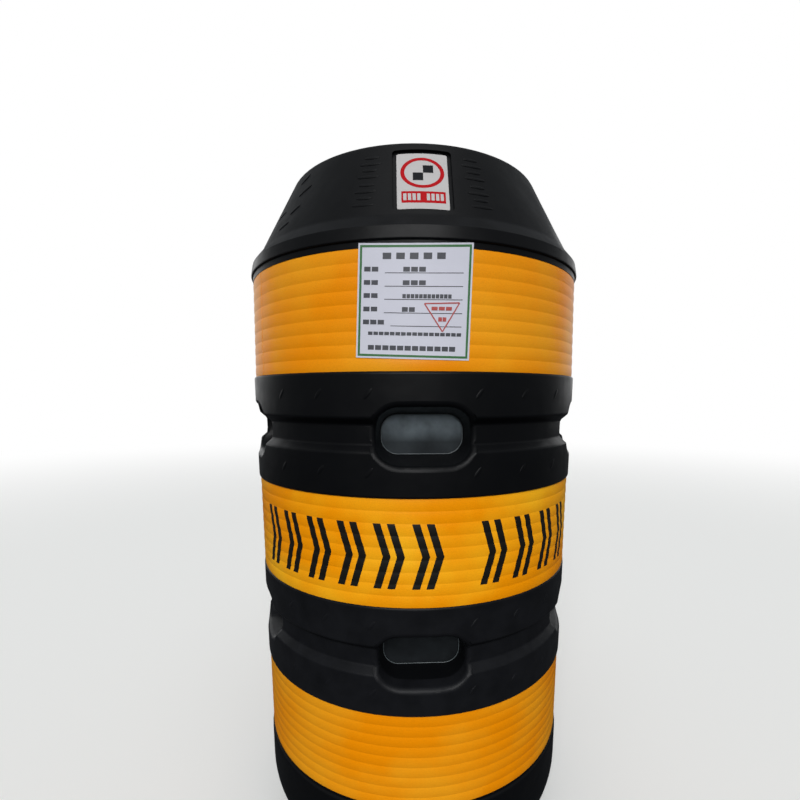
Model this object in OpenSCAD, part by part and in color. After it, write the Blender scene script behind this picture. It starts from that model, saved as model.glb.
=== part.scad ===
/* [Body] */
// Height from the ground to the flat top
height = 1300; // [1260:5:1340]
// Diameter across the widest part of the black belts
body_d = 650; // [646:1:656]
// Diameter of the flat top, inside its rounded edge
top_d = 450; // [435:5:460]
// How far the lower belt and the base stand in from the widest belt
lower_inset = 1.5; // [0:0.5:2]

/* [Belts and bands] */
// Height of the black base below the lowest band
base_h = 217; // [205:1:225]
// Height of the lower band of film
lower_band_h = 172; // [168:1:180]
// Height of the middle band of film
middle_band_h = 177; // [168:1:180]
// Height of the upper band of film
upper_band_h = 173; // [168:1:180]
// Height of each black belt between two bands
belt_h = 192; // [180:1:200]
// Radius on the upper and lower edge of each belt
belt_edge = 4; // [2:0.5:4]

/* [Groove and pockets] */
// Depth of the groove round each belt
groove_depth = 12.5; // [8:0.5:14]
// Height of the groove where it meets the belt
groove_h = 58; // [52:1:62]
// Slope of the groove's sides, from the wall's normal
groove_angle = 50; // [40:5:60]
// Number of pockets round each belt
pocket_count = 5; // [3:1:6]
// Width of the pocket's floor
pocket_w = 134; // [110:1:150]
// Height of the pocket's floor
pocket_h = 67; // [58:1:72]
// Corner radius of the pocket's floor
pocket_corner = 28; // [15:1:28]
// Depth of the pocket's floor below the belt
pocket_depth = 58; // [40:1:65]
// Draft of the pocket's walls
pocket_draft = 12; // [5:1:15]
// How far the pocket's rolled lip reaches along the wall and the belt
pocket_lip = 9; // [5:0.5:10]

/* [Cap and rim] */
// Slope of the cone, from the vertical
cone_angle = 28; // [25:1:30]
// Radius of the edge round the flat top
top_edge = 15; // [10:1:20]
// Height of the bare neck between the upper band and the rim
neck_h = 9; // [7:1:12]
// Height of the rim's steep face
rim_h = 20; // [16:1:24]
// Height of the flare between the rim and the cone
flare_h = 19; // [14:1:24]

/* [Film bands] */
// Number of horizontal ribs on each band
rib_count = 9; // [5:1:12]
// Depth of the ribs from crest to valley
rib_depth = 0.8; // [0.6:0.1:1.6]
// Number of flats that make up each rib
rib_sides = 6; // [2:2:8]
// Thickness of the film in a valley
film_t = 1; // [0.5:0.1:1.5]

/* [Sign and card] */
// Width of the recess for the sign on the cone
recess_w = 90; // [80:1:100]
// Length of the recess down the slope
recess_l = 119; // [100:1:122]
// Depth of the recess
recess_depth = 4; // [2:0.5:6]
// Gap above the sign plate, which sits near the recess's lower edge
sign_gap_top = 6; // [3:0.5:12]
// Gap beside the sign plate
sign_gap = 6.5; // [3:0.5:10]
// Thickness of the sign plate
sign_t = 1.8; // [1:0.1:3]
// Width of the card on the upper band
card_w = 164; // [100:1:180]
// Height of the card
card_h = 162; // [80:1:164]
// How far round the band the card's centre sits
card_turn = 2.6; // [-10:0.1:10]
// How far the card leans
card_lean = 1.6; // [-3:0.1:3]

/* [Hidden] */
$fn = 160;

// Levels, counted up from the ground
lower_belt_z = base_h + lower_band_h;
middle_band_z = lower_belt_z + belt_h;
upper_belt_z = middle_band_z + middle_band_h;
upper_band_z = upper_belt_z + belt_h;
neck_z = upper_band_z + upper_band_h;
groove_rise = 1;
pocket_rise = -1;

// Radii of the plain walls
belt_r = body_d / 2;
low_r = belt_r - lower_inset;
neck_r = belt_r - 6.6;
lower_band_r = low_r - 2.7;
middle_band_r = low_r - 1.5;
upper_band_foot_r = belt_r - 3;
upper_band_top_r = neck_r - 0.4;
seat_in = film_t + rib_depth / 2;

// Base: a large round turns the wall in to the foot
base_round = 140;
foot_r = 250;
foot_h = 17;
shoulder_round = 6;
shoulder_drop = 12;

// Groove: lips and floor corners
groove_lip = 6;
groove_fillet = 5;

// Pocket: the floor has a shallow panel inside a narrow ledge
panel_ledge = 1.5;
panel_depth = 4;
panel_overlap = 2;
corner_steps = 7;
edge_steps = 8;
lip_steps = 4;
lip_sink = 0.2;
cut_spread = 4;
cut_clear = 8;
apex_clear = 24;

// Cone: the line that the skin of the cap follows, and its normal
edge_z = height - top_edge + top_edge * sin(cone_angle);
edge_r = top_d / 2 + top_edge * cos(cone_angle);
cone_n = [cos(cone_angle), sin(cone_angle)];

// Rim: its lower edge, the crease above its steep face, and the start of the cone
rim_z = neck_z + neck_h;
rim_low = [belt_r - 2.8, rim_z];
rim_round = 2.5;
crease = [neck_r, rim_z + rim_h];
crease_round = 2;
flare_z = rim_z + rim_h + flare_h;
flare_top = [cone_r(flare_z), flare_z];
flare_round = 30;

function cone_r(z) = edge_r + (edge_z - z) * tan(cone_angle);

// Points along an arc, both ends included
function arc(c, r, a0, a1, n) = [
    for (i = [0:n])
        let (a = a0 + (a1 - a0) * i / n)
        c + r * [cos(a), sin(a)]
];

// Points of the round at corner b, between its neighbours a and c
function corner(a, b, c, r, n) =
    let (
        u = (a - b) / norm(a - b),
        v = (c - b) / norm(c - b),
        half = acos(u * v) / 2,
        centre = b + (u + v) / norm(u + v) * r / sin(half),
        p = b + u * r / tan(half) - centre,
        q = b + v * r / tan(half) - centre,
        a0 = atan2(p[1], p[0]),
        turn = (atan2(q[1], q[0]) - a0 + 540) % 360 - 180
    )
    arc(centre, r, a0, a0 + turn, n);

// Wall of the groove, from its lower lip to its upper lip
groove_out = groove_depth - (groove_lip + groove_fillet) * (1 - cos(groove_angle));
groove_run = (groove_lip + groove_fillet) * sin(groove_angle)
    + groove_out / tan(groove_angle);
function groove_wall(r, zc) =
    let (
        half = groove_h / 2,
        floor_c = r - groove_depth + groove_fillet
    )
    concat(
        arc([r - groove_lip, zc - half], groove_lip, 0, groove_angle, 4),
        arc([floor_c, zc - half + groove_run], groove_fillet, 180 + groove_angle, 180, 3),
        arc([floor_c, zc + half - groove_run], groove_fillet, 180, 180 - groove_angle, 3),
        arc([r - groove_lip, zc + half], groove_lip, -groove_angle, 0, 4)
    );

// Wall of one belt with its groove
function belt_wall(r, z) = concat(
    arc([r - belt_edge, z + belt_edge], belt_edge, -90, 0, 4),
    groove_wall(r, z + belt_h / 2 + groove_rise),
    arc([r - belt_edge, z + belt_h - belt_edge], belt_edge, 0, 90, 4)
);

// Radius of a belt's wall at each height, for what follows the wall
function wall_table(r, z) = [for (p = belt_wall(r, z)) [p[1], p[0]]];

body_outline = concat(
    [[0, 0], [foot_r, 0], [foot_r, foot_h]],
    arc([low_r - base_round, base_round], base_round,
        -acos((foot_r - low_r + base_round) / base_round), 0, 16),
    arc([low_r - shoulder_round, base_h - shoulder_drop], shoulder_round, 0, 75, 5),
    [[lower_band_r - seat_in, base_h - shoulder_drop / 2]],
    [[lower_band_r - seat_in, lower_belt_z]],
    belt_wall(low_r, lower_belt_z),
    [[middle_band_r - seat_in, middle_band_z]],
    [[middle_band_r - seat_in, upper_belt_z]],
    belt_wall(belt_r, upper_belt_z),
    [[upper_band_foot_r - seat_in, upper_band_z]],
    [[upper_band_top_r - seat_in, neck_z]],
    [[neck_r, neck_z], [neck_r, rim_z]],
    corner([neck_r, rim_z], rim_low, crease, rim_round, 5),
    corner(rim_low, crease, flare_top, crease_round, 4),
    corner(crease, flare_top, [edge_r, edge_z], flare_round, 3),
    arc([top_d / 2, height - top_edge], top_edge, cone_angle, 90, 7),
    [[0, height]]
);

// One station on the pocket's rim: centre of the corner and direction of the wall
function rim_corner(sx, sz, a0) = [
    for (i = [0:corner_steps])
        [
            sx * (pocket_w / 2 - pocket_corner),
            sz * (pocket_h / 2 - pocket_corner),
            a0 + 90 * i / corner_steps
        ]
];
function rim_edge(sz, a) = [
    for (i = [1:edge_steps - 1])
        [
            sz * (pocket_w / 2 - pocket_corner) * (1 - 2 * i / edge_steps),
            sz * (pocket_h / 2 - pocket_corner),
            a
        ]
];
pocket_rim = concat(
    rim_corner(1, 1, 0), rim_edge(1, 90),
    rim_corner(-1, 1, 90),
    rim_corner(-1, -1, 180), rim_edge(-1, 270),
    rim_corner(1, -1, 270)
);
rim_n = len(pocket_rim);

// A station's point at a given spread from the corner's centre, and the wall there
function spread(s, d) = [s[0] + d * cos(s[2]), s[1] + d * sin(s[2])];
function wall_y(table, p) = -sqrt(pow(lookup(p[1] + table_mid(table), table), 2) - p[0] * p[0]);
function table_mid(table) = (table[0][0] + table[len(table) - 1][0]) / 2 + pocket_rise;

// Height of the drafted wall from the floor to where it meets the belt
function wall_rise(table, s, floor_y, rise, tries) =
    tries == 0
        ? rise
        : wall_rise(table, s, floor_y,
            floor_y - wall_y(table, spread(s, pocket_corner + rise * tan(pocket_draft))),
            tries - 1);

function bezier(a, b, c, t) = (1 - t) * (1 - t) * a + 2 * t * (1 - t) * b + t * t * c;

// All points up one station: floor, rolled lip, then clear of the belt
function station(table, s, floor_y) =
    let (
        rise = wall_rise(table, s, floor_y, pocket_depth, 4),
        d1 = pocket_corner + rise * tan(pocket_draft),
        low = rise - pocket_lip,
        p0 = spread(s, pocket_corner + low * tan(pocket_draft)),
        p1 = spread(s, d1),
        p2 = spread(s, d1 + pocket_lip),
        p3 = spread(s, d1 + pocket_lip + cut_spread),
        foot = spread(s, pocket_corner),
        a = [p0[0], floor_y - low, p0[1]],
        b = [p1[0], floor_y - rise, p1[1]],
        c = [p2[0], wall_y(table, p2) - lip_sink, p2[1]]
    )
    concat(
        [[foot[0], floor_y, foot[1]]],
        [for (i = [0:lip_steps]) bezier(a, b, c, i / lip_steps)],
        [[p3[0], wall_y(table, p3) - cut_clear, p3[1]]]
    );
rings = lip_steps + 3;

// Solid that cuts one pocket at the front of a belt, with a lip that follows the wall
module pocket_cut(r, z) {
    table = wall_table(r, z);
    floor_y = -(r - pocket_depth);
    points = concat(
        [for (s = pocket_rim) for (p = station(table, s, floor_y)) p],
        [[0, -(r + apex_clear), 0]]
    );
    side = [
        for (i = [0:rim_n - 1])
            for (k = [0:rings - 2])
                let (
                    a = i * rings + k,
                    b = ((i + 1) % rim_n) * rings + k
                )
                each [[a, b + 1, b], [a, a + 1, b + 1]]
    ];
    floor_face = [[for (i = [0:rim_n - 1]) i * rings]];
    mouth = [
        for (i = [0:rim_n - 1])
            [((i + 1) % rim_n) * rings + rings - 1, i * rings + rings - 1, rim_n * rings]
    ];
    translate([0, 0, table_mid(table)])
        polyhedron(points, concat(side, floor_face, mouth));
}

// Rectangle with round corners, centred
module round_rect(w, h, r) {
    square([w, h - 2 * r], center = true);
    square([w - 2 * r, h], center = true);
    for (sx = [-1, 1], sz = [-1, 1])
        translate([sx * (w / 2 - r), sz * (h / 2 - r)]) circle(r);
}

// Shallow panel in the floor of a pocket
module pocket_panel(r, z) {
    depth = pocket_depth + panel_depth;
    translate([0, -(r - depth), z + belt_h / 2 + pocket_rise])
        rotate([90, 0, 0])
            linear_extrude(panel_depth + panel_overlap)
                round_rect(pocket_w - 2 * panel_ledge, pocket_h - 2 * panel_ledge,
                    pocket_corner - panel_ledge);
}

module pockets(r, z) {
    for (i = [0:pocket_count - 1])
        rotate([0, 0, 360 * i / pocket_count]) {
            pocket_cut(r, z);
            pocket_panel(r, z);
        }
}

// Recess and plate: places down the slope, counted from the top edge
recess_top = 8;
recess_corner = 6;
plate_corner = 3;
plate_w = recess_w - 2 * sign_gap;
sign_gap_low = 2.5;
plate_l = recess_l - sign_gap_top - sign_gap_low;

// Layer that follows the cone, from one depth to another along its normal
module cone_layer(from, to) {
    low_z = rim_z;
    high_z = height + top_edge;
    low = [cone_r(low_z), low_z];
    high = [cone_r(high_z), high_z];
    rotate_extrude()
        polygon([
            low + from * cone_n, low + to * cone_n,
            high + to * cone_n, high + from * cone_n
        ]);
}

// Block that stands out from the cone's front, its length running down the slope
module cone_block(w, l, r, top) {
    translate([0, -edge_r, edge_z])
        rotate([-cone_angle, 0, 0])
            translate([0, 0, -top - l / 2])
                rotate([90, 0, 0])
                    linear_extrude(80, center = true)
                        round_rect(w, l, r);
}

// Moulded body, closed all round
module body() {
    color("#232427")
        difference() {
            rotate_extrude() polygon(body_outline);
            pockets(low_r, lower_belt_z);
            pockets(belt_r, upper_belt_z);
            intersection() {
                cone_block(recess_w, recess_l, recess_corner, recess_top);
                cone_layer(-recess_depth, top_edge);
            }
        }
}

// Ribbed ring of film between two levels, leaning from one radius to the other
module film(z, h, foot, top) {
    pitch = h / rib_count;
    round = pow(pitch / 2, 2) / (2 * rib_depth) + rib_depth / 2;
    color("#f2a01e")
        rotate_extrude()
            polygon(concat(
                [
                    for (i = [0:rib_count * rib_sides])
                        let (
                            share = i / (rib_count * rib_sides),
                            off = ((i % rib_sides) / rib_sides - 0.5) * pitch,
                            rise = rib_depth / 2 - round + sqrt(round * round - off * off)
                        )
                        [foot + (top - foot) * share + rise, z + h * share]
                ],
                [[top - seat_in, z + h], [foot - seat_in, z]]
            ));
}

module film_lower() {
    film(base_h, lower_band_h, lower_band_r, lower_band_r);
}

module film_middle() {
    film(middle_band_z, middle_band_h, middle_band_r, middle_band_r);
}

module film_upper() {
    film(upper_band_z, upper_band_h, upper_band_foot_r, upper_band_top_r);
}

// Curved plate that lies on the floor of the recess
module sign_plate() {
    color("#f4f4f2")
        intersection() {
            cone_block(plate_w, plate_l, plate_corner, recess_top + sign_gap_top);
            cone_layer(-recess_depth, -recess_depth + sign_t);
        }
}

// Card: a paper strip on the crests of the upper band, its top just above the band
card_t = 0.4;
card_over = 7.5;
card_low_z = upper_band_z - 1;
card_high_z = rim_z - 0.5;
band_lean = (upper_band_top_r - upper_band_foot_r) / upper_band_h;

// Radius of the band's crests at one level
function crest_r(z) = upper_band_foot_r + rib_depth / 2 + band_lean * (z - upper_band_z);

module card() {
    foot = crest_r(card_low_z);
    top = crest_r(card_high_z);
    color("#f7f7f4")
        intersection() {
            rotate_extrude()
                polygon([
                    [foot, card_low_z], [foot + card_t, card_low_z],
                    [top + card_t, card_high_z], [top, card_high_z]
                ]);
            rotate([0, 0, -card_turn])
                translate([0, -belt_r, neck_z + card_over - card_h / 2])
                    rotate([90, card_lean, 0])
                        linear_extrude(120, center = true)
                            square([card_w, card_h], center = true);
        }
}

body();
film_lower();
film_middle();
film_upper();
sign_plate();
card();
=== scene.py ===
import math

import bmesh
import bpy
import numpy as np
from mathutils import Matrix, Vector


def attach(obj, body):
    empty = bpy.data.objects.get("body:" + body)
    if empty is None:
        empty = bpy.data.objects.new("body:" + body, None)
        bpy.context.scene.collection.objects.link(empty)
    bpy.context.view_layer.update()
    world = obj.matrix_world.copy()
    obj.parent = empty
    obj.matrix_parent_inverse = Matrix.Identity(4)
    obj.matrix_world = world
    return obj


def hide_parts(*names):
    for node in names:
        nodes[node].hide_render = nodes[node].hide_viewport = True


# A round warning bollard. Metres, Z up, centred on the ground, its front at -Y.
# Places round it are given as a turn in degrees from the front, positive to the viewer's right.

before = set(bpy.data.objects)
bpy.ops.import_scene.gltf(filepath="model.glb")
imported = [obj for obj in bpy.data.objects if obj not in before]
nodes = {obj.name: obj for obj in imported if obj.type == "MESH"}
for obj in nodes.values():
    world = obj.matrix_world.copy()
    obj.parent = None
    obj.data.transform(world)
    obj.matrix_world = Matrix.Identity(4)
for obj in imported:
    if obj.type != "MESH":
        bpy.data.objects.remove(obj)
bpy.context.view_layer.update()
print("frame loaded:", ", ".join(sorted(nodes)))


def toLinear(hexColour):
    value = hexColour.lstrip("#")
    parts = [int(value[i:i + 2], 16) / 255 for i in (0, 2, 4)]
    return tuple(p / 12.92 if p <= 0.04045 else ((p + 0.055) / 1.055) ** 2.4 for p in parts) + (1.0,)


def addNode(tree, kind, inputs=None, **settings):
    node = tree.nodes.new(kind)
    for name, value in settings.items():
        setattr(node, name, value)
    for key, value in (inputs or {}).items():
        if isinstance(value, bpy.types.NodeSocket):
            tree.links.new(value, node.inputs[key])
        else:
            node.inputs[key].default_value = value
    return node


def compute(tree, operation, *values):
    return addNode(tree, "ShaderNodeMath", dict(enumerate(values)), operation=operation).outputs[0]


def spread(tree, value, low, high, lowest=0.0, highest=1.0):
    # Spreads low to high over lowest to highest, and holds what lies outside
    return addNode(tree, "ShaderNodeMapRange", {
        "Value": value, "From Min": low, "From Max": high,
        "To Min": lowest, "To Max": highest}).outputs["Result"]


def noise(tree, place, scale, detail, roughness=0.5):
    return addNode(tree, "ShaderNodeTexNoise", {
        "Vector": place, "Scale": scale, "Detail": detail, "Roughness": roughness}).outputs["Fac"]


def mixColours(tree, share, first, second):
    return addNode(tree, "ShaderNodeMix", {
        "Factor": share, 6: first, 7: second}, data_type="RGBA").outputs[2]


def newMaterial(name):
    material = bpy.data.materials.new(name)
    material.use_nodes = True
    material.node_tree.nodes.clear()
    return material, material.node_tree


# What the shapes share with the frame, in metres
body = {
    "beltRadius": 0.325, "lowRadius": 0.3235, "beltGap": 0.369,
    "coneAngle": math.radians(28), "edgeRadius": 0.23824, "edgeHeight": 1.29204,
}
films = {
    "film_lower": {"foot": 0.217, "height": 0.172, "radii": (0.3208, 0.3208)},
    "film_middle": {"foot": 0.581, "height": 0.177, "radii": (0.3220, 0.3220)},
    "film_upper": {"foot": 0.950, "height": 0.173, "radii": (0.3220, 0.3180)},
}
ribs = {"count": 9, "depth": 0.0008}


def filmRadius(name, z):
    film = films[name]
    pitch = film["height"] / ribs["count"]
    arc = (pitch / 2) ** 2 / (2 * ribs["depth"]) + ribs["depth"] / 2
    along = (z - film["foot"]) / pitch
    index = np.clip(np.floor(along), 0, ribs["count"] - 1)
    middle = film["radii"][0] + (film["radii"][1] - film["radii"][0]) * along / ribs["count"]
    off = (along - index - 0.5) * pitch
    return middle + ribs["depth"] / 2 - arc + np.sqrt(arc * arc - off * off)


def onFilm(name):
    # x runs round the band from the front, y is the height
    def place(x, y, lift):
        radius = filmRadius(name, y)
        angle = x / films[name]["radii"][0]
        return np.stack([(radius + lift) * np.sin(angle), -(radius + lift) * np.cos(angle), y], -1)
    return place


def onCone(depth=0.0):
    # x runs round the cone, y is the way up the slope from its top edge, so it is negative
    def place(x, y, lift):
        out = depth + lift
        radius = body["edgeRadius"] - y * math.sin(body["coneAngle"]) + out * math.cos(body["coneAngle"])
        z = body["edgeHeight"] + y * math.cos(body["coneAngle"]) + out * math.sin(body["coneAngle"])
        angle = x / radius
        return np.stack([radius * np.sin(angle), -radius * np.cos(angle), z], -1)
    return place


# Camera, matched to the photograph's perspective; centre is its optical axis in the picture
view = {
    "pictureSize": 800, "focalPixels": 457.0, "centre": (413.8, 467.1),
    "down": 8.86, "away": 1.0036, "height": 0.9141, "turn": 2.8,
}
turn = math.radians(view["turn"])
cameraData = bpy.data.cameras.new("camera")
cameraData.sensor_width = 36
cameraData.lens = view["focalPixels"] / view["pictureSize"] * cameraData.sensor_width
cameraData.shift_x = 0.5 - view["centre"][0] / view["pictureSize"]
cameraData.shift_y = view["centre"][1] / view["pictureSize"] - 0.5
cameraData.clip_start = 0.05
camera = bpy.data.objects.new("camera", cameraData)
camera.rotation_euler = (math.radians(90 - view["down"]), 0, -turn)
camera.location = (-view["away"] * math.sin(turn), -view["away"] * math.cos(turn), view["height"])
bpy.context.scene.collection.objects.link(camera)
bpy.context.scene.camera = camera
print("camera placed")


def blackPolyethylene():
    # Rotationally moulded polyethylene: near black, a fine pebbled skin with a slight sheen, soft
    # waves left by shrinkage, thin dust on the flat top, a pale grey painted highlight on the pockets'
    # panels and a painted sheen on the lower belt's outer faces.
    skin = {
        "black": "#0a0b0d", "roughness": 0.37, "sheen": 0.12, "grain": 0.0022, "wave": 0.085,
        "patchesPerMetre": 22.0, "cloudsPerMetre": 26.0,
    }
    dust = {"colour": "#2b2d31", "above": 1.0, "most": 0.5}
    # the pale grey colour on the pockets' panels is a painted highlight
    paintedPanelHighlight = {
        "colour": "#859198", "reach": 0.2643, "radius": 0.28, "above": 0.3, "below": 0.95,
        "upperPanel": (0.84, 0.873), "upperLeast": 0.12, "betweenBelts": (0.55, 0.75), "lowerBelt": 0.4,
    }
    # the dull grey on the lower belt's outer faces is a painted sheen
    paintedBeltSheen = {"colour": "#17181b", "above": 0.3, "fade": (0.62, 0.56), "radius": 0.3}
    material, tree = newMaterial("blackPolyethylene")
    place = addNode(tree, "ShaderNodeTexCoord").outputs["Object"]
    normal = addNode(tree, "ShaderNodeNewGeometry").outputs["Normal"]
    up = addNode(tree, "ShaderNodeSeparateXYZ", {0: normal}).outputs["Z"]
    x, y, z = addNode(tree, "ShaderNodeSeparateXYZ", {0: place}).outputs
    grain = noise(tree, place, 1 / skin["grain"], 3.0, 0.6)
    wave = noise(tree, place, 1 / skin["wave"], 2.0)
    patch = noise(tree, place, skin["patchesPerMetre"], 5.0, 0.65)
    cloud = spread(tree, noise(tree, place, skin["cloudsPerMetre"], 3.0, 0.55), 0.3, 0.65, 0.45)

    # a pocket's panel is the only thing in a belt that lies this near the axis, measured along the pocket
    fifth = math.radians(72)
    turnRound = compute(tree, "ARCTAN2", x, compute(tree, "MULTIPLY", y, -1.0))
    wrapped = compute(tree, "MODULO", compute(tree, "ADD", turnRound, 5.5 * fifth), fifth)
    offPocket = compute(tree, "SUBTRACT", wrapped, fifth / 2)
    flat = addNode(tree, "ShaderNodeCombineXYZ", {"X": x, "Y": y}).outputs[0]
    radius = addNode(tree, "ShaderNodeVectorMath", {0: flat}, operation="LENGTH").outputs["Value"]
    reach = compute(tree, "MULTIPLY", radius, compute(tree, "COSINE", offPocket))
    inReach = compute(tree, "LESS_THAN", reach, paintedPanelHighlight["reach"])
    deep = compute(tree, "LESS_THAN", radius, paintedPanelHighlight["radius"])
    aboveBase = compute(tree, "GREATER_THAN", z, paintedPanelHighlight["above"])
    inBelts = compute(tree, "MULTIPLY", compute(tree, "LESS_THAN", z, paintedPanelHighlight["below"]), aboveBase)
    onPanel = compute(tree, "MULTIPLY", compute(tree, "MULTIPLY", inReach, deep), inBelts)
    # the painted highlight is strongest at the top of the upper panels, where it offsets the shadow of the
    # pocket's upper lip, and weak on the lower ones
    byPanel = spread(tree, z, *paintedPanelHighlight["upperPanel"], paintedPanelHighlight["upperLeast"])
    byBelt = spread(tree, z, *paintedPanelHighlight["betweenBelts"], paintedPanelHighlight["lowerBelt"])
    clouded = compute(tree, "MULTIPLY", onPanel, cloud)
    panelHighlightShare = compute(tree, "MULTIPLY", clouded, compute(tree, "MULTIPLY", byPanel, byBelt))
    panelHighlighted = mixColours(tree, panelHighlightShare, toLinear(skin["black"]), toLinear(paintedPanelHighlight["colour"]))

    # a painted sheen lightens the lower belt's outer faces to a dull grey
    outside = compute(tree, "GREATER_THAN", radius, paintedBeltSheen["radius"])
    aboveFilm = compute(tree, "GREATER_THAN", z, paintedBeltSheen["above"])
    onBelt = compute(tree, "MULTIPLY", spread(tree, z, *paintedBeltSheen["fade"]), aboveFilm)
    beltSheenShare = compute(tree, "MULTIPLY", compute(tree, "MULTIPLY", onBelt, outside), cloud)
    withBeltSheen = mixColours(tree, beltSheenShare, panelHighlighted, toLinear(paintedBeltSheen["colour"]))

    onTop = compute(tree, "GREATER_THAN", z, dust["above"])
    dusty = compute(tree, "MULTIPLY", spread(tree, up, 0.45, 1.0, 0.0, dust["most"]), onTop)
    dustShare = compute(tree, "MULTIPLY", dusty, spread(tree, patch, 0.42, 0.72))
    dusted = mixColours(tree, dustShare, withBeltSheen, toLinear(dust["colour"]))

    rough = spread(tree, patch, 0.3, 0.7, skin["roughness"] - 0.04, skin["roughness"] + 0.07)
    waveBump = addNode(tree, "ShaderNodeBump", {"Height": wave, "Strength": 0.5, "Distance": 0.004})
    grainBump = addNode(tree, "ShaderNodeBump", {
        "Height": grain, "Strength": 0.3, "Distance": 0.0003, "Normal": waveBump.outputs[0]})
    shader = addNode(tree, "ShaderNodeBsdfPrincipled", {
        "Base Color": dusted, "Roughness": rough, "Normal": grainBump.outputs[0],
        "IOR": 1.5, "Specular IOR Level": skin["sheen"]})
    addNode(tree, "ShaderNodeOutputMaterial", {"Surface": shader.outputs[0]})
    return material


def amberFilm(name, amber, pale):
    # Retroreflective sheeting: glass beads under a clear amber face, so a deep even colour
    # with a thin gloss, a little paler in patches, with the slight waves of a film laid by hand.
    sheet = {
        "amber": amber, "pale": pale, "bead": 0.0016, "wave": 0.045, "patchesPerMetre": 6.5,
        "roughness": 0.42, "sheen": 0.08, "coat": 0.12, "coatRoughness": 0.3,
    }
    material, tree = newMaterial(name)
    place = addNode(tree, "ShaderNodeTexCoord").outputs["Object"]
    patch = spread(tree, noise(tree, place, sheet["patchesPerMetre"], 3.0), 0.4, 0.65)
    tint = mixColours(tree, patch, toLinear(sheet["amber"]), toLinear(sheet["pale"]))
    bead = addNode(tree, "ShaderNodeTexVoronoi", {"Vector": place, "Scale": 1 / sheet["bead"]})
    shade = spread(tree, bead.outputs["Distance"], 0.0, 0.8, 1.05, 0.93)
    beaded = addNode(tree, "ShaderNodeVectorMath", {0: tint, "Scale": shade}, operation="SCALE").outputs[0]
    wave = noise(tree, place, 1 / sheet["wave"], 2.0)
    bump = addNode(tree, "ShaderNodeBump", {"Height": wave, "Strength": 0.25, "Distance": 0.002})
    shader = addNode(tree, "ShaderNodeBsdfPrincipled", {
        "Base Color": beaded, "Roughness": sheet["roughness"], "IOR": 1.49,
        "Specular IOR Level": sheet["sheen"], "Normal": bump.outputs[0],
        "Coat Weight": sheet["coat"], "Coat Roughness": sheet["coatRoughness"]})
    addNode(tree, "ShaderNodeOutputMaterial", {"Surface": shader.outputs[0]})
    return material


def plainFinish(name, colour, second, size, roughness, sheen=0.5):
    # A printed or coated surface: one colour, very slightly clouded, with a faint tooth.
    material, tree = newMaterial(name)
    place = addNode(tree, "ShaderNodeTexCoord").outputs["Object"]
    clouded = mixColours(tree, noise(tree, place, 1 / size, 4.0, 0.6), toLinear(colour), toLinear(second))
    tooth = noise(tree, place, 900.0, 2.0)
    bump = addNode(tree, "ShaderNodeBump", {"Height": tooth, "Strength": 0.2, "Distance": 0.0001})
    shader = addNode(tree, "ShaderNodeBsdfPrincipled", {
        "Base Color": clouded, "Roughness": roughness, "Normal": bump.outputs[0],
        "Specular IOR Level": sheen})
    addNode(tree, "ShaderNodeOutputMaterial", {"Surface": shader.outputs[0]})
    return material


blackSkin = blackPolyethylene()
filmSkin = amberFilm("amberReflectiveFilm", "#f29000", "#f2a018")
# the middle band's paler copy of the film is painted light, standing in for the brighter retroreflection
# at the camera's height
paintedLitFilmSkin = amberFilm("paintedLitAmberReflectiveFilm", "#f89800", "#ffb81c")
paper = plainFinish("coatedPaper", "#d4d5e1", "#c9cad6", 0.05, 0.6, 0.3)
greenInk = plainFinish("greenInkOnPaper", "#2a6230", "#35703c", 0.01, 0.55)
greyInk = plainFinish("greyInkOnPaper", "#33353d", "#44464e", 0.004, 0.55)
blackInk = plainFinish("blackInkOnPaper", "#1b1d22", "#2c2f36", 0.004, 0.55)
stampInk = plainFinish("redStampInk", "#a63432", "#b2504c", 0.004, 0.6)
plateWhite = plainFinish("printedWhitePlate", "#bab8b8", "#afadac", 0.02, 0.35, 0.3)
plateRed = plainFinish("redPrintOnPlate", "#a40410", "#b01018", 0.01, 0.5, 0.08)
plateBlack = plainFinish("blackPrintOnPlate", "#101214", "#1c1e22", 0.006, 0.5, 0.08)
vinyl = plainFinish("blackCutVinyl", "#12110e", "#1b1a17", 0.01, 0.4, 0.25)
# pale grey standing in for a painted highlight along the pockets' panel edges
paintedEdgeHighlight = plainFinish("paintedHighlightPanelEdge", "#5b6366", "#43494c", 0.012, 0.3)

filmSkins = {"film_lower": filmSkin, "film_middle": paintedLitFilmSkin, "film_upper": filmSkin}
for name, material in {**filmSkins, "sign_plate": plateWhite, "card": paper}.items():
    nodes[name].data.materials.clear()
    nodes[name].data.materials.append(material)
print("materials made")


def finishPiece(piece):
    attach(piece, "root")
    return piece


def meshPiece(name, points, faces, material, smooth=True):
    mesh = bpy.data.meshes.new(name)
    mesh.from_pydata([tuple(p) for p in points], [], faces)
    mesh.materials.append(material)
    for polygon in mesh.polygons:
        polygon.use_smooth = smooth
    piece = bpy.data.objects.new(name, mesh)
    bpy.context.scene.collection.objects.link(piece)
    return finishPiece(piece)


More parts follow.
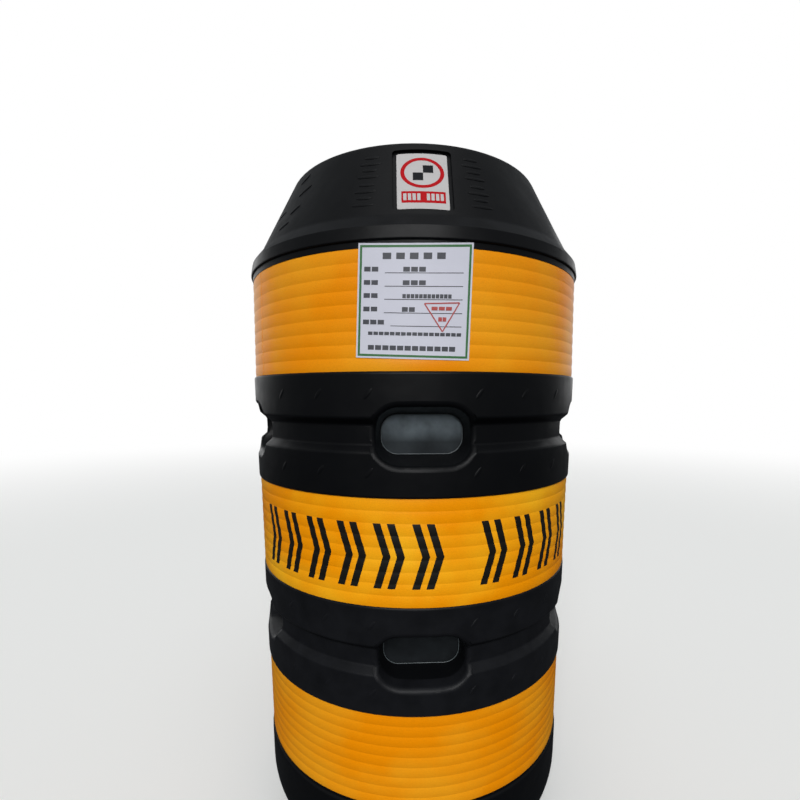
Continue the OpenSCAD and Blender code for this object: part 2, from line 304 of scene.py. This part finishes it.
def smoothBody():
    # The frame's body with the pockets' small facets shaded as one rolled surface. Facets that
    # meet at a point are shaded together unless they turn more than the least likeness allows.
    shading = {"stepsPerMetre": 20000, "leastLikeness": 0.8}
    mesh = nodes["body"].data.copy()
    count = len(mesh.polygons)
    flat = np.zeros(count, bool)
    mesh.polygons.foreach_get("use_smooth", flat)
    flat = ~flat
    normals = np.zeros(count * 3)
    mesh.polygons.foreach_get("normal", normals)
    normals = normals.reshape(-1, 3)
    areas = np.zeros(count)
    mesh.polygons.foreach_get("area", areas)
    corners = np.array([n.vector[:] for n in mesh.corner_normals])
    spots = [tuple(round(c * shading["stepsPerMetre"]) for c in v.co) for v in mesh.vertices]
    meeting = {}
    for polygon in mesh.polygons:
        if flat[polygon.index]:
            for v in polygon.vertices:
                meeting.setdefault(spots[v], []).append(polygon.index)
    for polygon in mesh.polygons:
        if not flat[polygon.index]:
            continue
        own = normals[polygon.index]
        for loop, v in zip(polygon.loop_indices, polygon.vertices):
            alike = [i for i in meeting[spots[v]] if normals[i] @ own > shading["leastLikeness"]]
            total = sum((normals[i] * areas[i] for i in alike), np.zeros(3))
            length = np.linalg.norm(total)
            corners[loop] = total / length if length > 0 else own
        polygon.use_smooth = True
    mesh.normals_split_custom_set([tuple(n) for n in corners])
    mesh.materials.clear()
    mesh.materials.append(blackSkin)
    piece = bpy.data.objects.new("body_skin", mesh)
    bpy.context.scene.collection.objects.link(piece)
    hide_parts("body")
    return finishPiece(piece)


smoothBody()
print("body shaded")


def strip(rows, place, lift, thickness):
    # A closed thin solid from rows of flat points, laid on a surface
    rows = np.array(rows)
    top = place(rows[..., 0], rows[..., 1], lift + thickness)
    low = place(rows[..., 0], rows[..., 1], lift)
    n, m = rows.shape[:2]
    points = np.concatenate([top.reshape(-1, 3), low.reshape(-1, 3)])
    faces = []
    at = lambda i, j, k: k * n * m + i * m + j
    for i in range(n - 1):
        for j in range(m - 1):
            faces.append((at(i, j, 0), at(i, j + 1, 0), at(i + 1, j + 1, 0), at(i + 1, j, 0)))
            faces.append((at(i, j, 1), at(i + 1, j, 1), at(i + 1, j + 1, 1), at(i, j + 1, 1)))
    for i in range(n - 1):
        faces.append((at(i, 0, 0), at(i + 1, 0, 0), at(i + 1, 0, 1), at(i, 0, 1)))
        faces.append((at(i, m - 1, 0), at(i, m - 1, 1), at(i + 1, m - 1, 1), at(i + 1, m - 1, 0)))
    for j in range(m - 1):
        faces.append((at(0, j, 0), at(0, j, 1), at(0, j + 1, 1), at(0, j + 1, 0)))
        faces.append((at(n - 1, j, 0), at(n - 1, j + 1, 0), at(n - 1, j + 1, 1), at(n - 1, j, 1)))
    return points, faces


def quadRows(corners, step):
    # Rows of points across a four-cornered flat shape: low left, low right, high right, high left
    a, b, c, d = (np.array(p, float) for p in corners)
    across = max(2, 1 + math.ceil(max(np.linalg.norm(b - a), np.linalg.norm(c - d)) / step))
    up = max(2, 1 + math.ceil(max(np.linalg.norm(d - a), np.linalg.norm(c - b)) / step))
    rows = []
    for v in np.linspace(0, 1, up):
        left, right = a + (d - a) * v, b + (c - b) * v
        rows.append([left + (right - left) * u for u in np.linspace(0, 1, across)])
    return rows


def bar(x0, x1, y0, y1):
    return [(x0, y0), (x1, y0), (x1, y1), (x0, y1)]


def stroke(p, q, width):
    p, q = np.array(p, float), np.array(q, float)
    along = (q - p) / np.linalg.norm(q - p)
    side = np.array([-along[1], along[0]]) * width / 2
    return [p - side, q - side, q + side, p + side]


# A print's own thickness, how far it stands off what it is on, and its mesh's step
ink = {"lift": 0.00004, "thickness": 0.00012, "step": 0.004}


def printOn(name, shapes, place, material, lift=ink["lift"], thickness=ink["thickness"],
            step=ink["step"]):
    points, faces = [], []
    for shape in shapes:
        p, f = strip(quadRows(shape, step), place, lift, thickness)
        faces += [tuple(i + len(points) for i in face) for face in f]
        points += list(p)
    return meshPiece(name, points, faces, material, smooth=False)


def cardSheet():
    # The paper card with its print. x runs from its left edge and y down from its top, as a minus
    # value. Its corners are given as a turn and a level, and its long edges sag a little.
    card = {
        "width": 0.164, "height": 0.162, "thickness": 0.0004,
        "topLeft": (-17.17, 1.1299), "topRight": (12.89, 1.1314),
        "lowLeft": (-18.19, 0.9702), "lowRight": (11.82, 0.9655), "topSag": 0.0035, "lowSag": 0.0009,
        "inset": 0.0026, "line": 0.0032, "rule": 0.001, "wordGap": 0.16,
        "inkLift": 0.00005, "stampLift": 0.0002, "stampLine": 0.0018,
    }
    band = films["film_upper"]
    foot, top = band["radii"]
    outside = ribs["depth"] / 2 + card["thickness"]
    corners = {key: np.array((math.radians(card[key][0]), card[key][1]))
               for key in ("topLeft", "topRight", "lowLeft", "lowRight")}

    def place(x, y, lift):
        u, v = x[..., None] / card["width"], 1 + y[..., None] / card["height"]
        flat = ((1 - v) * ((1 - u) * corners["lowLeft"] + u * corners["lowRight"])
                + v * ((1 - u) * corners["topLeft"] + u * corners["topRight"]))
        sag = ((1 - v) * card["lowSag"] + v * card["topSag"]) * (1 - (2 * u - 1) ** 2)
        angle, z = flat[..., 0], flat[..., 1] - sag[..., 0]
        radius = foot + (top - foot) * (z - band["foot"]) / band["height"] + outside + lift
        return np.stack([radius * np.sin(angle), -radius * np.cos(angle), z], -1)

    def words(x0, x1, count, y0, y1, gap=card["wordGap"]):
        # plain blocks in a row, in millimetres from the card's top left corner
        pitch = (x1 - x0) / (count - gap) / 1000
        return [bar(x0 / 1000 + pitch * i, x0 / 1000 + pitch * (i + 1 - gap), -y1 / 1000, -y0 / 1000)
                for i in range(count)]

    right, low = card["width"], -card["height"]
    sheet = printOn("card_sheet", [bar(0, right, low, 0)], place, paper,
                    lift=-card["thickness"], thickness=card["thickness"])
    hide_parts("card")
    inset, line = card["inset"], card["line"]
    border = [
        bar(inset, right - inset, -inset - line, -inset),
        bar(inset, right - inset, low + inset, low + inset + line),
        bar(inset, inset + line, low + inset + line, -inset - line),
        bar(right - inset - line, right - inset, low + inset + line, -inset - line),
    ]
    printOn("card_border", border, place, greenInk)
    marks = words(35.6, 123.6, 5, 13.2, 22, 0.37)
    rows = ((40.4, 2, 3, 96.4), (58.9, 2, 3, 97), (77.2, 2, 12, 134.3), (96.2, 2, 2, 83), (114.7, 3, 0, 0))
    rules = []
    for y, labels, values, end in rows:
        rules.append(bar((0.0395 if labels == 2 else 0.0495), 0.1506, -y / 1000 - card["rule"], -y / 1000))
        marks += words(9.4, 9.4 + 10.2 * labels, labels, y - 7.8, y - 1.2)
        if values:
            marks += words(65, end, values, y - (7.8 if values < 12 else 7), y - 1.2)
    marks += words(17.4, 150.5, 17, 123.8, 128.6) + words(17.7, 142.6, 12, 143.2, 150)
    printOn("card_words", marks, place, greyInk, lift=card["inkLift"])
    printOn("card_rules", rules, place, blackInk, lift=card["inkLift"])
    tips = [(0.0962, -0.0832), (0.1464, -0.0818), (0.1231, -0.1222)]
    stamp = [stroke(tips[i], tips[(i + 1) % 3], card["stampLine"]) for i in range(3)]
    stamp += words(106.5, 135.5, 3, 87.5, 92.5) + words(116.5, 128, 2, 102, 108)
    printOn("card_stamp", stamp, place, stampInk, lift=card["stampLift"])


cardSheet()


def signPrint():
    sign = {
        "ringMiddle": -0.0536, "ringRadius": 0.0331, "ringSquash": 0.926, "ringLine": 0.006,
        "ringSteps": 96, "plateDepth": 0.0022, "blockLift": 0.00018,
        "bar": (-0.032, 0.0334, -0.1131, -0.0909),
        "blocks": {
            "starts": (-0.0293, 0.0052), "each": 4, "pitch": 0.0068, "width": 0.0047,
            "rows": (-0.1085, -0.0955)},
        "squares": [(0.001, 0.0165, -0.0535, -0.0385), (-0.0145, 0.001, -0.0690, -0.0535)],
    }
    place = onCone(-sign["plateDepth"])
    ring = []
    for k in range(sign["ringSteps"] + 1):
        a = -2 * math.pi * k / sign["ringSteps"]
        ring.append([
            ((sign["ringRadius"] - d) * math.cos(a),
             sign["ringMiddle"] + (sign["ringRadius"] - d) * math.sin(a) * sign["ringSquash"])
            for d in (0, sign["ringLine"])
        ])
    points, faces = strip(ring, place, ink["lift"], ink["thickness"])
    first = len(points)
    p, f = strip(quadRows(bar(*sign["bar"]), ink["step"]), place, ink["lift"], ink["thickness"])
    meshPiece("sign_red", list(points) + list(p),
              faces + [tuple(i + first for i in face) for face in f], plateRed, smooth=False)
    blocks = []
    group = sign["blocks"]
    for start in group["starts"]:
        for i in range(group["each"]):
            x = start + group["pitch"] * i
            blocks.append(bar(x, x + group["width"], *group["rows"]))
    printOn("sign_blocks", blocks, place, plateWhite, lift=sign["blockLift"])
    printOn("sign_field", [bar(*square) for square in sign["squares"]], place, plateBlack)


signPrint()
print("sign and card printed")


def makeTree(name, sockets):
    tree = bpy.data.node_groups.new(name, "GeometryNodeTree")
    tree.interface.new_socket("Geometry", in_out="INPUT", socket_type="NodeSocketGeometry")
    for label, kind in sockets:
        tree.interface.new_socket(label, in_out="INPUT", socket_type=kind)
    tree.interface.new_socket("Geometry", in_out="OUTPUT", socket_type="NodeSocketGeometry")
    return tree, addNode(tree, "NodeGroupInput").outputs


def runTree(tree, name, values, start=()):
    # Makes a plain mesh from a tree: the base mesh holds the start points
    mesh = bpy.data.meshes.new(name + "Base")
    mesh.from_pydata([tuple(p) for p in start], [], [])
    base = bpy.data.objects.new(name + "Base", mesh)
    bpy.context.scene.collection.objects.link(base)
    modifier = base.modifiers.new("nodes", "NODES")
    modifier.node_group = tree
    for item in tree.interface.items_tree:
        if item.item_type == "SOCKET" and item.in_out == "INPUT" and item.name in values:
            modifier[item.identifier] = values[item.name]
    depsgraph = bpy.context.evaluated_depsgraph_get()
    made = bpy.data.meshes.new_from_object(base.evaluated_get(depsgraph), depsgraph=depsgraph)
    bpy.data.objects.remove(base)
    piece = bpy.data.objects.new(name, made)
    bpy.context.scene.collection.objects.link(piece)
    return piece


def onCircle(tree, radius, angle, level):
    # A place at a radius from the axis, an angle from the front and a height
    x = compute(tree, "MULTIPLY", radius, compute(tree, "SINE", angle))
    back = compute(tree, "MULTIPLY", radius, compute(tree, "COSINE", angle))
    y = compute(tree, "MULTIPLY", back, -1.0)
    return addNode(tree, "ShaderNodeCombineXYZ", {"X": x, "Y": y, "Z": level}).outputs[0]


def bandPrint():
    # Ten plain marks in a row round the middle band, each of two tall chevrons
    row = {
        "cells": [-0.303 + 0.062 * i for i in range(6)] + [0.119 + 0.0637 * i for i in range(4)],
        "middle": 0.6655, "height": 0.106, "strokeWidth": 0.0125, "strokeGap": 0.0225,
        "bend": 0.3, "thickness": 0.00015, "lift": 0.00005,
    }
    film = films["film_middle"]
    pitch = film["height"] / ribs["count"]
    tree, given = makeTree("bandMarks", [
        ("Stroke Width", "NodeSocketFloat"), ("Stroke Gap", "NodeSocketFloat"),
        ("Height", "NodeSocketFloat"), ("Bend", "NodeSocketFloat"), ("Thickness", "NodeSocketFloat"),
        ("Radius", "NodeSocketFloat"), ("Middle", "NodeSocketFloat"),
        ("Band Foot", "NodeSocketFloat"), ("Rib Pitch", "NodeSocketFloat"),
        ("Rib Arc", "NodeSocketFloat"), ("Material", "NodeSocketMaterial"),
    ])
    arm = addNode(tree, "GeometryNodeMeshGrid", {
        "Size X": given["Stroke Width"], "Size Y": given["Height"], "Vertices X": 5, "Vertices Y": 61})
    gap = addNode(tree, "ShaderNodeCombineXYZ", {"X": given["Stroke Gap"]}).outputs[0]
    ends = addNode(tree, "GeometryNodeMeshLine", {"Count": 2, "Offset": gap})
    cell = addNode(tree, "GeometryNodeInstanceOnPoints", {
        "Points": ends.outputs[0], "Instance": arm.outputs["Mesh"]})
    cells = addNode(tree, "GeometryNodeInstanceOnPoints", {
        "Points": given["Geometry"], "Instance": cell.outputs[0]})
    flat = addNode(tree, "GeometryNodeRealizeInstances", {0: cells.outputs[0]}).outputs[0]
    raised = addNode(tree, "GeometryNodeExtrudeMesh", {
        "Mesh": flat, "Offset Scale": given["Thickness"], "Individual": False})
    under = addNode(tree, "GeometryNodeFlipFaces", {0: flat}).outputs[0]
    both = addNode(tree, "GeometryNodeJoinGeometry", {0: raised.outputs["Mesh"]})
    tree.links.new(under, both.inputs[0])
    closed = addNode(tree, "GeometryNodeMergeByDistance", {
        0: both.outputs[0], "Distance": 0.00001}).outputs[0]
    at = addNode(tree, "ShaderNodeSeparateXYZ", {0: addNode(tree, "GeometryNodeInputPosition").outputs[0]})
    fromMiddle = compute(tree, "ABSOLUTE", at.outputs["Y"])
    bent = compute(tree, "MULTIPLY", fromMiddle, given["Bend"])
    along = compute(tree, "SUBTRACT", at.outputs["X"], bent)
    angle = compute(tree, "DIVIDE", along, given["Radius"])
    level = compute(tree, "ADD", at.outputs["Y"], given["Middle"])
    above = compute(tree, "SUBTRACT", level, given["Band Foot"])
    share = compute(tree, "DIVIDE", above, given["Rib Pitch"])
    part = compute(tree, "FRACT", share)
    centred = compute(tree, "SUBTRACT", part, 0.5)
    off = compute(tree, "MULTIPLY", centred, given["Rib Pitch"])
    offSquared = compute(tree, "MULTIPLY", off, off)
    arcSquared = compute(tree, "MULTIPLY", given["Rib Arc"], given["Rib Arc"])
    left = compute(tree, "SUBTRACT", arcSquared, offSquared)
    rise = compute(tree, "SQRT", left)
    drop = compute(tree, "SUBTRACT", rise, given["Rib Arc"])
    onRib = compute(tree, "ADD", given["Radius"], drop)
    reach = compute(tree, "ADD", onRib, at.outputs["Z"])
    placed = addNode(tree, "GeometryNodeSetPosition", {
        "Geometry": closed, "Position": onCircle(tree, reach, angle, level)}).outputs[0]
    dressed = addNode(tree, "GeometryNodeSetMaterial", {"Geometry": placed, "Material": given["Material"]})
    addNode(tree, "NodeGroupOutput", {0: dressed.outputs[0]})
    # each cell's point is its left chevron, so that both chevrons with their bend sit in its middle
    shift = row["bend"] * row["height"] / 4 - row["strokeGap"] / 2
    piece = runTree(tree, "band_marks", {
        "Stroke Width": row["strokeWidth"], "Stroke Gap": row["strokeGap"],
        "Height": row["height"], "Bend": row["bend"], "Thickness": row["thickness"],
        "Radius": film["radii"][0] + ribs["depth"] / 2 + row["lift"], "Middle": row["middle"],
        "Band Foot": film["foot"], "Rib Pitch": pitch,
        "Rib Arc": (pitch / 2) ** 2 / (2 * ribs["depth"]) + ribs["depth"] / 2,
        "Material": vinyl,
    }, [(x + shift, 0, 0) for x in row["cells"]])
    return finishPiece(piece)


bandPrint()
print("band marked")


def spreadOnBelts(tree, given, shape, total, angle, belt, firstLevel, kept=None):
    # Sets a shape at each angle round the two belts, turned to face outward
    level = compute(tree, "MULTIPLY_ADD", belt, given["Belt Gap"], firstLevel)
    radius = compute(tree, "MULTIPLY_ADD", belt, given["Radius Step"], given["Radius"])
    spots = addNode(tree, "GeometryNodePoints", {"Count": total}).outputs[0]
    ring = addNode(tree, "GeometryNodeSetPosition", {
        "Geometry": spots, "Position": onCircle(tree, radius, angle, level)}).outputs[0]
    facing = addNode(tree, "ShaderNodeCombineXYZ", {"Z": angle}).outputs[0]
    setting = {"Points": ring, "Instance": shape, "Rotation": facing}
    if kept is not None:
        setting["Selection"] = kept
    placed = addNode(tree, "GeometryNodeInstanceOnPoints", setting).outputs[0]
    plain = addNode(tree, "GeometryNodeRealizeInstances", {0: placed}).outputs[0]
    shaded = addNode(tree, "GeometryNodeSetShadeSmooth", {
        "Geometry": plain, "Shade Smooth": True}).outputs[0]
    dressed = addNode(tree, "GeometryNodeSetMaterial", {"Geometry": shaded, "Material": given["Material"]})
    addNode(tree, "NodeGroupOutput", {0: dressed.outputs[0]})


def beltMarks():
    # Moulded slanted strokes every 15 degrees above and below each groove. A pocket's place has
    # none, and neither do the mould's split lines at the sides and back.
    marks = {
        "count": 24, "rows": 4, "firstRow": 0.4285, "rowGap": 0.1195,
        "length": 0.0215, "width": 0.0068, "height": 0.0012, "sunk": 0.0005, "lean": math.radians(38),
        "clear": math.radians(14), "pockets": 5, "perQuarter": 6.0,
    }
    tree, given = makeTree("mouldedMarks", [
        ("Count", "NodeSocketInt"), ("Rows", "NodeSocketInt"), ("First Row", "NodeSocketFloat"),
        ("Row Gap", "NodeSocketFloat"), ("Belt Gap", "NodeSocketFloat"),
        ("Radius", "NodeSocketFloat"), ("Radius Step", "NodeSocketFloat"),
        ("Mark Size", "NodeSocketVector"), ("Lean", "NodeSocketFloat"),
        ("Clear Angle", "NodeSocketFloat"), ("Material", "NodeSocketMaterial"),
    ])
    ball = addNode(tree, "GeometryNodeMeshUVSphere", {"Segments": 18, "Rings": 12, "Radius": 0.5})
    leaning = addNode(tree, "ShaderNodeCombineXYZ", {"Y": given["Lean"]}).outputs[0]
    mark = addNode(tree, "GeometryNodeTransform", {
        "Geometry": ball.outputs["Mesh"], "Scale": given["Mark Size"], "Rotation": leaning}).outputs[0]
    total = compute(tree, "MULTIPLY", given["Count"], given["Rows"])
    index = addNode(tree, "GeometryNodeInputIndex").outputs[0]
    share = compute(tree, "DIVIDE", index, given["Count"])
    rowIndex = compute(tree, "FLOOR", share)
    angle = compute(tree, "MULTIPLY", share, 2 * math.pi)
    # rows 0 and 1 lie below and above the lower groove, rows 2 and 3 below and above the upper one
    belt = compute(tree, "FLOOR", compute(tree, "MULTIPLY", rowIndex, 0.5))
    side = compute(tree, "MODULO", rowIndex, 2.0)
    firstLevel = compute(tree, "MULTIPLY_ADD", side, given["Row Gap"], given["First Row"])
    fifth = 2 * math.pi / marks["pockets"]
    shifted = compute(tree, "ADD", angle, fifth / 2)
    inFifth = compute(tree, "MODULO", shifted, fifth)
    offPocket = compute(tree, "ABSOLUTE", compute(tree, "SUBTRACT", inFifth, fifth / 2))
    clear = compute(tree, "GREATER_THAN", offPocket, given["Clear Angle"])
    inQuarter = compute(tree, "MODULO", index, marks["perQuarter"])
    offSplit = compute(tree, "GREATER_THAN", inQuarter, 0.5)
    kept = compute(tree, "MULTIPLY", clear, offSplit)
    spreadOnBelts(tree, given, mark, total, angle, belt, firstLevel, kept)
    piece = runTree(tree, "belt_marks", {
        "Count": marks["count"], "Rows": marks["rows"], "First Row": marks["firstRow"],
        "Row Gap": marks["rowGap"], "Belt Gap": body["beltGap"],
        "Radius": body["lowRadius"] - marks["sunk"], "Radius Step": body["beltRadius"] - body["lowRadius"],
        "Mark Size": (marks["width"], 2 * marks["height"], marks["length"]),
        "Lean": marks["lean"], "Clear Angle": marks["clear"], "Material": blackSkin,
    })
    return finishPiece(piece)


beltMarks()


def pocketBeads():
    # The thin edge between each pocket's floor and its panel, pale grey as a painted highlight
    bead = {
        "panelWidth": 0.131, "panelHeight": 0.064, "corner": 0.0265, "thickness": 0.0014,
        "floorDepth": 0.058, "firstLevel": 0.484, "count": 5,
    }
    tree, given = makeTree("pocketBeads", [
        ("Width", "NodeSocketFloat"), ("Height", "NodeSocketFloat"), ("Corner", "NodeSocketFloat"),
        ("Thickness", "NodeSocketFloat"), ("Count", "NodeSocketInt"), ("Radius", "NodeSocketFloat"),
        ("Radius Step", "NodeSocketFloat"), ("First Level", "NodeSocketFloat"),
        ("Belt Gap", "NodeSocketFloat"), ("Material", "NodeSocketMaterial"),
    ])
    outline = addNode(tree, "GeometryNodeCurvePrimitiveQuadrilateral", {
        "Width": given["Width"], "Height": given["Height"]}, mode="RECTANGLE").outputs[0]
    rounded = addNode(tree, "GeometryNodeFilletCurve", {
        "Curve": outline, "Radius": given["Corner"], "Count": 14}, mode="POLY").outputs[0]
    section = addNode(tree, "GeometryNodeCurvePrimitiveCircle", {
        "Resolution": 10, "Radius": compute(tree, "MULTIPLY", given["Thickness"], 0.5)}).outputs[0]
    tube = addNode(tree, "GeometryNodeCurveToMesh", {
        "Curve": rounded, "Profile Curve": section}).outputs[0]
    upright = addNode(tree, "GeometryNodeTransform", {
        "Geometry": tube, "Rotation": (math.pi / 2, 0.0, 0.0)}).outputs[0]
    total = compute(tree, "MULTIPLY", given["Count"], 2.0)
    share = compute(tree, "DIVIDE", addNode(tree, "GeometryNodeInputIndex").outputs[0], given["Count"])
    angle = compute(tree, "MULTIPLY", share, 2 * math.pi)
    spreadOnBelts(tree, given, upright, total, angle, compute(tree, "FLOOR", share), given["First Level"])
    piece = runTree(tree, "pocket_beads", {
        "Width": bead["panelWidth"], "Height": bead["panelHeight"], "Corner": bead["corner"],
        "Thickness": bead["thickness"], "Count": bead["count"],
        "Radius": body["lowRadius"] - bead["floorDepth"],
        "Radius Step": body["beltRadius"] - body["lowRadius"],
        "First Level": bead["firstLevel"], "Belt Gap": body["beltGap"], "Material": paintedEdgeHighlight,
    })
    return finishPiece(piece)


pocketBeads()


def ridges(name, lines, place, width, height, material, fullness=0.8):
    # Soft moulded ridges from one flat point to another, half sunk in the surface. A fullness
    # under 1 makes them blunter than a ball.
    unit = bmesh.new()
    bmesh.ops.create_uvsphere(unit, u_segments=16, v_segments=10, radius=1)
    bmesh.ops.recalc_face_normals(unit, faces=unit.faces[:])
    ball = np.array([v.co[:] for v in unit.verts])
    turned = [[v.index for v in f.verts] for f in unit.faces]
    unit.free()
    points, faces = [], []
    for p, q in lines:
        p, q = np.array(p, float), np.array(q, float)
        half = np.linalg.norm(q - p) / 2
        along = (q - p) / (2 * half)
        side = np.array([-along[1], along[0]])
        shaped = np.sign(ball) * np.abs(ball) ** fullness
        flat = (p + q) / 2 + shaped[:, :1] * half * along + shaped[:, 1:2] * width / 2 * side
        placed = place(flat[:, 0], flat[:, 1], ball[:, 2] * height)
        faces += [tuple(i + len(points) for i in face) for face in turned]
        points += list(placed)
    return meshPiece(name, points, faces, material)


def capReliefs():
    cap = {
        "dashes": [(-52.9, 27, -47.6, 13), (-49.2, 57.5, -42.7, 43.5), (-49.5, 93, -44.5, 81),
                   (-62, 84, -55, 78), (-53.7, 119, -47.4, 111)],
        "dashWidth": 0.0065, "dashHeight": 0.0010,
        "padTurn": 17.7, "padWidth": 0.036, "padTops": (0.0205, 0.076), "padHeight": 0.039, "padLines": 4,
        "lineWidth": 0.0056, "lineHeight": 0.0008, "shortLine": 0.7,
    }
    place = onCone()

    def flat(turnDegrees, slope):
        radius = body["edgeRadius"] + slope * math.sin(body["coneAngle"])
        return math.radians(turnDegrees) * radius, -slope

    points = []
    for a0, s0, a1, s1 in cap["dashes"]:
        for turnBy in (0, 180):
            points.append((flat(a0 + turnBy, s0 / 1000), flat(a1 + turnBy, s1 / 1000)))
    ridges("cap_dashes", points, place, cap["dashWidth"], cap["dashHeight"],
           blackSkin)
    lines = []
    for side in (-1, 1):
        for top in cap["padTops"]:
            for i in range(cap["padLines"]):
                slope = top + cap["padHeight"] * i / (cap["padLines"] - 1)
                middle, _ = flat(side * cap["padTurn"], slope)
                half = cap["padWidth"] / 2 * (1 if i % 2 else cap["shortLine"])
                lines.append(((middle - half, -slope), (middle + half, -slope)))
    ridges("cap_pads", lines, place, cap["lineWidth"], cap["lineHeight"],
           blackSkin)


capReliefs()


def filmLaps():
    # Where each band's two ends lap: a strip of the same film, a little proud
    lap = {
        "turns": {"film_lower": 128, "film_middle": 118, "film_upper": -59},
        "width": 0.012, "thickness": 0.0003, "clear": 0.0006, "lift": 0.00002, "step": 0.0016,
    }
    for name, degrees in lap["turns"].items():
        film = films[name]
        middle = math.radians(degrees) * film["radii"][0]
        shape = bar(middle - lap["width"] / 2, middle + lap["width"] / 2,
                    film["foot"] + lap["clear"], film["foot"] + film["height"] - lap["clear"])
        printOn(name + "_lap", [shape], onFilm(name), filmSkins[name],
                lift=lap["lift"], thickness=lap["thickness"], step=lap["step"])


filmLaps()
print("marks and laps made")


def studio():
    room = {
        "floor": "#f8f8f6", "bounce": "#3c3e41", "size": 60.0, "fadeFrom": 2.5, "fadeTo": 9.0,
        "world": 0.27, "sky": (0.93, 0.97, 1.0, 1.0), "drop": 0.0005,
        "lamps": {
            "front": {"energy": 2.3, "turn": -5, "up": 31, "soft": 40},
            "over": {"energy": 0.55, "turn": 0, "up": 65, "soft": 50},
            "left": {"energy": 0.5, "turn": -142, "up": 3, "soft": 45},
            "right": {"energy": 0.45, "turn": 142, "up": 3, "soft": 45},
        },
    }
    mesh = bpy.data.meshes.new("floor")
    edge = bmesh.new()
    bmesh.ops.create_circle(edge, cap_ends=True, segments=96, radius=room["size"])
    edge.to_mesh(mesh)
    edge.free()
    floor = bpy.data.objects.new("floor", mesh)
    floor.location = (0, 0, -room["drop"])
    bpy.context.scene.collection.objects.link(floor)
    # a pale seamless floor, which turns into the white background in the distance
    material, tree = newMaterial("paleStudioFloor")
    place = addNode(tree, "ShaderNodeTexCoord").outputs["Object"]
    away = addNode(tree, "ShaderNodeVectorMath", {0: place}, operation="LENGTH").outputs["Value"]
    seen = addNode(tree, "ShaderNodeLightPath").outputs["Is Camera Ray"]
    fade = addNode(tree, "ShaderNodeMapRange", {
        "Value": away, "From Min": room["fadeFrom"], "From Max": room["fadeTo"]},
        interpolation_type="SMOOTHSTEP").outputs["Result"]
    share = compute(tree, "MULTIPLY", fade, seen)
    tone = mixColours(tree, seen, toLinear(room["bounce"]), toLinear(room["floor"]))
    matte = addNode(tree, "ShaderNodeBsdfPrincipled", {
        "Base Color": tone, "Roughness": 0.85, "Specular IOR Level": 0.2})
    white = addNode(tree, "ShaderNodeEmission", {"Color": (1, 1, 1, 1), "Strength": 1.0})
    both = addNode(tree, "ShaderNodeMixShader", {0: share, 1: matte.outputs[0], 2: white.outputs[0]})
    addNode(tree, "ShaderNodeOutputMaterial", {"Surface": both.outputs[0]})
    mesh.materials.append(material)

    world = bpy.data.worlds.new("studio")
    world.use_nodes = True
    tree = world.node_tree
    tree.nodes.clear()
    seen = addNode(tree, "ShaderNodeLightPath").outputs["Is Camera Ray"]
    strength = spread(tree, seen, 0.0, 1.0, room["world"])
    tone = mixColours(tree, seen, room["sky"], (1.0, 1.0, 1.0, 1.0))
    sky = addNode(tree, "ShaderNodeBackground", {"Color": tone, "Strength": strength})
    addNode(tree, "ShaderNodeOutputWorld", {"Surface": sky.outputs[0]})
    bpy.context.scene.world = world

    for name, given in room["lamps"].items():
        light = bpy.data.lights.new(name, "SUN")
        light.energy = given["energy"]
        light.angle = math.radians(given["soft"])
        turn, up = math.radians(given["turn"]), math.radians(given["up"])
        lamp = bpy.data.objects.new(name, light)
        toward = Vector((math.sin(turn) * math.cos(up), -math.cos(turn) * math.cos(up), math.sin(up)))
        lamp.rotation_euler = toward.to_track_quat("Z", "Y").to_euler()
        bpy.context.scene.collection.objects.link(lamp)
    bpy.context.scene.view_settings.view_transform = "Standard"


studio()
print("studio lit")
